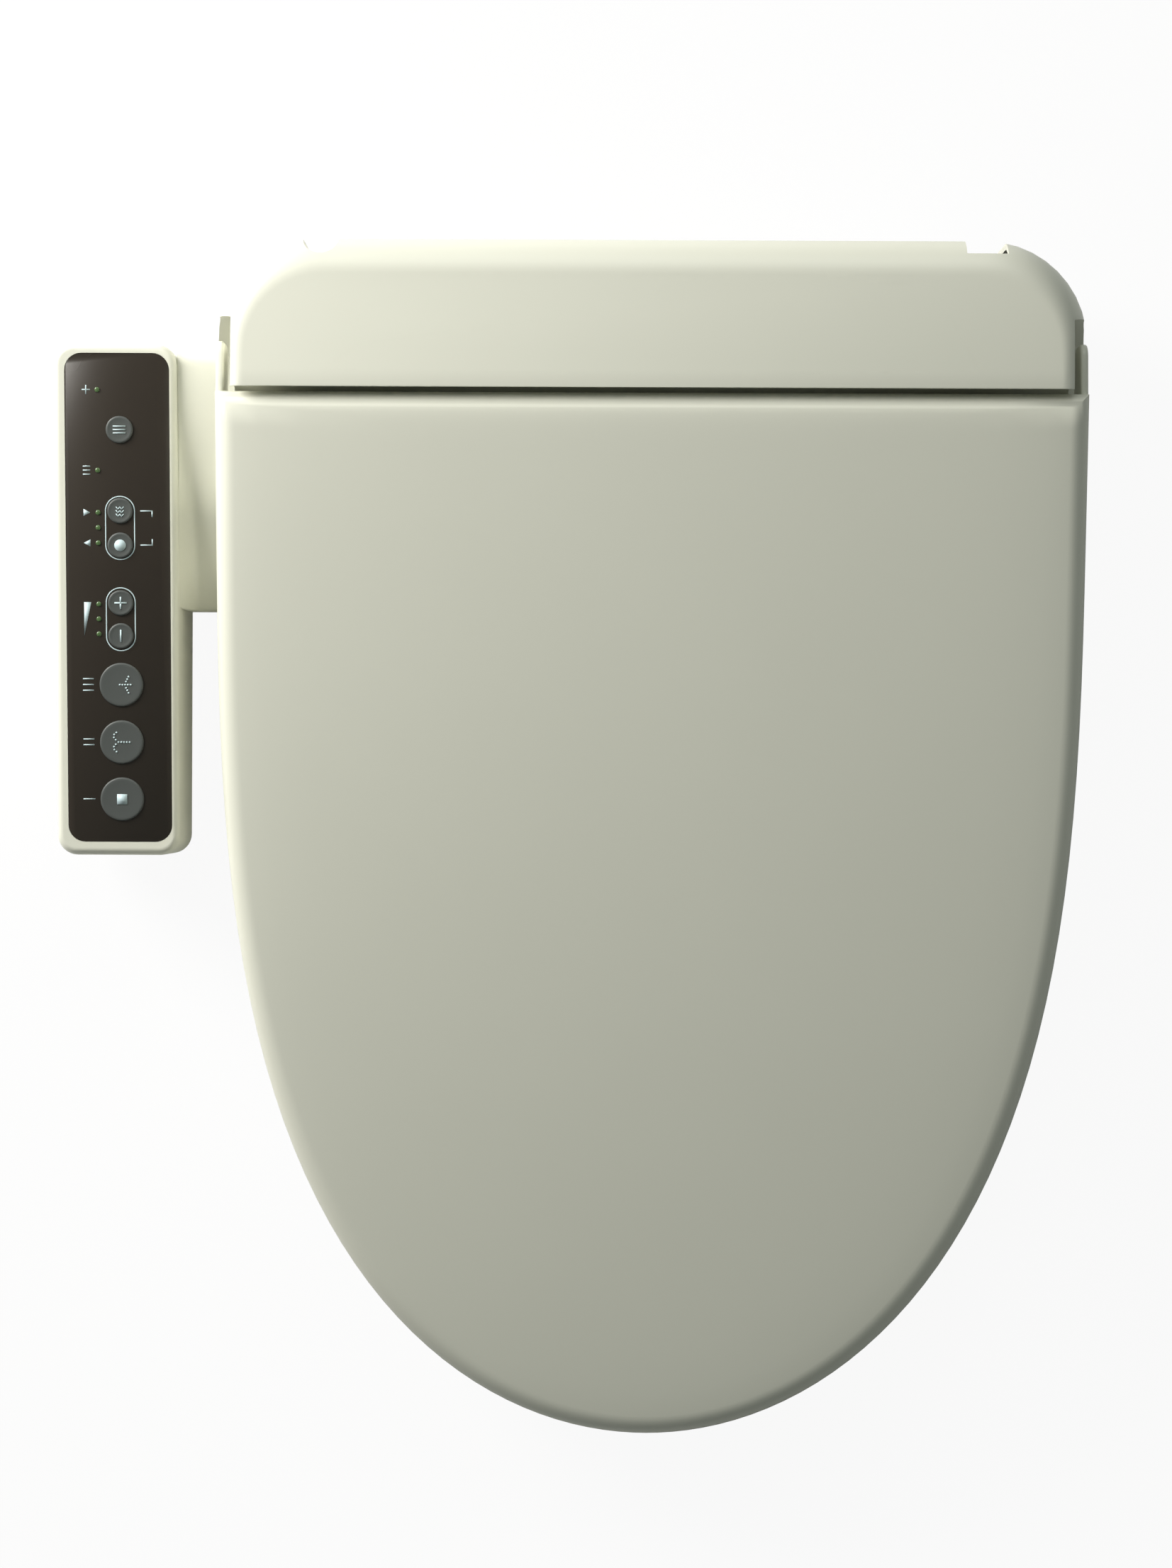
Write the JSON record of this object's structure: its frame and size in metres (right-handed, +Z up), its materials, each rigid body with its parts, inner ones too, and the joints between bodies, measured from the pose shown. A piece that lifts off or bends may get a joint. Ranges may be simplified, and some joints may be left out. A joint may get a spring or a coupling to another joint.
{
  "type": "electric bidet seat",
  "caption": "Electric bidet seat with a soft-close lid, heated seat ring, rear water housing and a side control panel.",
  "frame": {"origin": "midway between the two bowl bolts, on the plane of the bowl's rim", "axes": "+Z up, +Y to the rear, +X away from the control panel; the lid's tip points to -Y"},
  "size_m": [0.463, 0.5301, 0.136],
  "materials": {
    "ivory_shell": "satin moulded ivory plastic",
    "white_moulding": "plain moulded plastic",
    "film": "dark brown printed film",
    "button_grey": "dark grey moulded key",
    "light_pipe": "tinted clear plastic",
    "circuit_board": "solder mask",
    "grey_plastic": "glass-filled plastic",
    "rubber": "soft pale rubber",
    "dark_rubber": "moulded",
    "hose": "translucent silicone",
    "steel": "turned and ground",
    "heater_foil": "foil",
    "brass": "machined"
  },
  "bodies": {
    "housing": {"base_plate": "white_moulding", "rear_cover": "ivory_shell", "neck_cover": "ivory_shell", "console_case": "ivory_shell", "console_bottom": "ivory_shell", "panel_film": "film", "indicator_lights": "light_pipe", "panel_board": "circuit_board", "mounting_plate": "grey_plastic", "bolt_retainers": "grey_plastic", "hinge_pins": "steel", "soft_close_dampers": "grey_plastic", "water_tank": "white_moulding", "tank_heater": "steel", "thermal_fuse": "white_moulding", "solenoid_valve": "grey_plastic", "inlet_fitting": "brass", "inlet_strainer": "grey_plastic", "water_hoses": "hose", "nozzle_housing": "white_moulding", "nozzle_motor": "steel", "main_board": "circuit_board", "wiring_harness": "white_moulding", "cord_gland": "dark_rubber", "drain_plug": "grey_plastic", "screws": "steel"},
    "lid": {"lid": "ivory_shell", "lid_bumpers": "rubber"},
    "seat": {"seat_top": "ivory_shell", "seat_bottom": "white_moulding", "seat_heater": "heater_foil", "seat_bumpers": "rubber"},
    "nozzle": {"nozzle": "white_moulding"},
    "pinion": {"nozzle_pinion": "white_moulding"},
    "release": {"release_button": "white_moulding"},
    "key_clean": {"button_clean": "button_grey"},
    "key_water_temp": {"button_water_temp": "button_grey"},
    "key_seat_temp": {"button_seat_temp": "button_grey"},
    "key_pressure_up": {"button_pressure_up": "button_grey"},
    "key_pressure_down": {"button_pressure_down": "button_grey"},
    "key_front_wash": {"button_front_wash": "button_grey"},
    "key_rear_wash": {"button_rear_wash": "button_grey"},
    "key_stop": {"button_stop": "button_grey"}
  },
  "joints": [
    {"name": "seat_hinge", "type": "hinge", "parent": "housing", "child": "seat", "pos_m": [0, -0.02, 0.123], "axis": [-1, 0, 0], "range_deg": [0, 97]},
    {"name": "lid_hinge", "type": "hinge", "parent": "seat", "child": "lid", "pos_m": [0, -0.02, 0.123], "axis": [1, 0, 0], "range_deg": [-100, 0]},
    {"name": "nozzle_slide", "type": "slide", "parent": "housing", "child": "nozzle", "axis": [0, -0.8829, -0.4695], "range_m": [0, 0.075]},
    {"name": "pinion_spin", "type": "hinge", "parent": "housing", "child": "pinion", "pos_m": [0, -0.04194, 0.05768], "axis": [-1, 0, 0], "range_deg": [-20, 760]},
    {"name": "release_press", "type": "slide", "parent": "housing", "child": "release", "axis": [-1, 0, 0], "range_m": [0, 0.004], "stiffness_N_per_m": 300},
    {"name": "press_clean", "type": "slide", "parent": "housing", "child": "key_clean", "axis": [0, 0.0962, -0.9954], "range_m": [0, 0.0008], "stiffness_N_per_m": 900},
    {"name": "press_water_temp", "type": "slide", "parent": "housing", "child": "key_water_temp", "axis": [0, 0.0962, -0.9954], "range_m": [0, 0.0008], "stiffness_N_per_m": 900},
    {"name": "press_seat_temp", "type": "slide", "parent": "housing", "child": "key_seat_temp", "axis": [0, 0.0962, -0.9954], "range_m": [0, 0.0008], "stiffness_N_per_m": 900},
    {"name": "press_pressure_up", "type": "slide", "parent": "housing", "child": "key_pressure_up", "axis": [0, 0.0962, -0.9954], "range_m": [0, 0.0008], "stiffness_N_per_m": 900},
    {"name": "press_pressure_down", "type": "slide", "parent": "housing", "child": "key_pressure_down", "axis": [0, 0.0962, -0.9954], "range_m": [0, 0.0008], "stiffness_N_per_m": 900},
    {"name": "press_front_wash", "type": "slide", "parent": "housing", "child": "key_front_wash", "axis": [0, 0.0962, -0.9954], "range_m": [0, 0.0008], "stiffness_N_per_m": 900},
    {"name": "press_rear_wash", "type": "slide", "parent": "housing", "child": "key_rear_wash", "axis": [0, 0.0962, -0.9954], "range_m": [0, 0.0008], "stiffness_N_per_m": 900},
    {"name": "press_stop", "type": "slide", "parent": "housing", "child": "key_stop", "axis": [0, 0.0962, -0.9954], "range_m": [0, 0.0008], "stiffness_N_per_m": 900}
  ],
  "couplings": [
    {"joint": "pinion_spin", "follows": "nozzle_slide", "rad_per_m": 166.67}
  ]
}
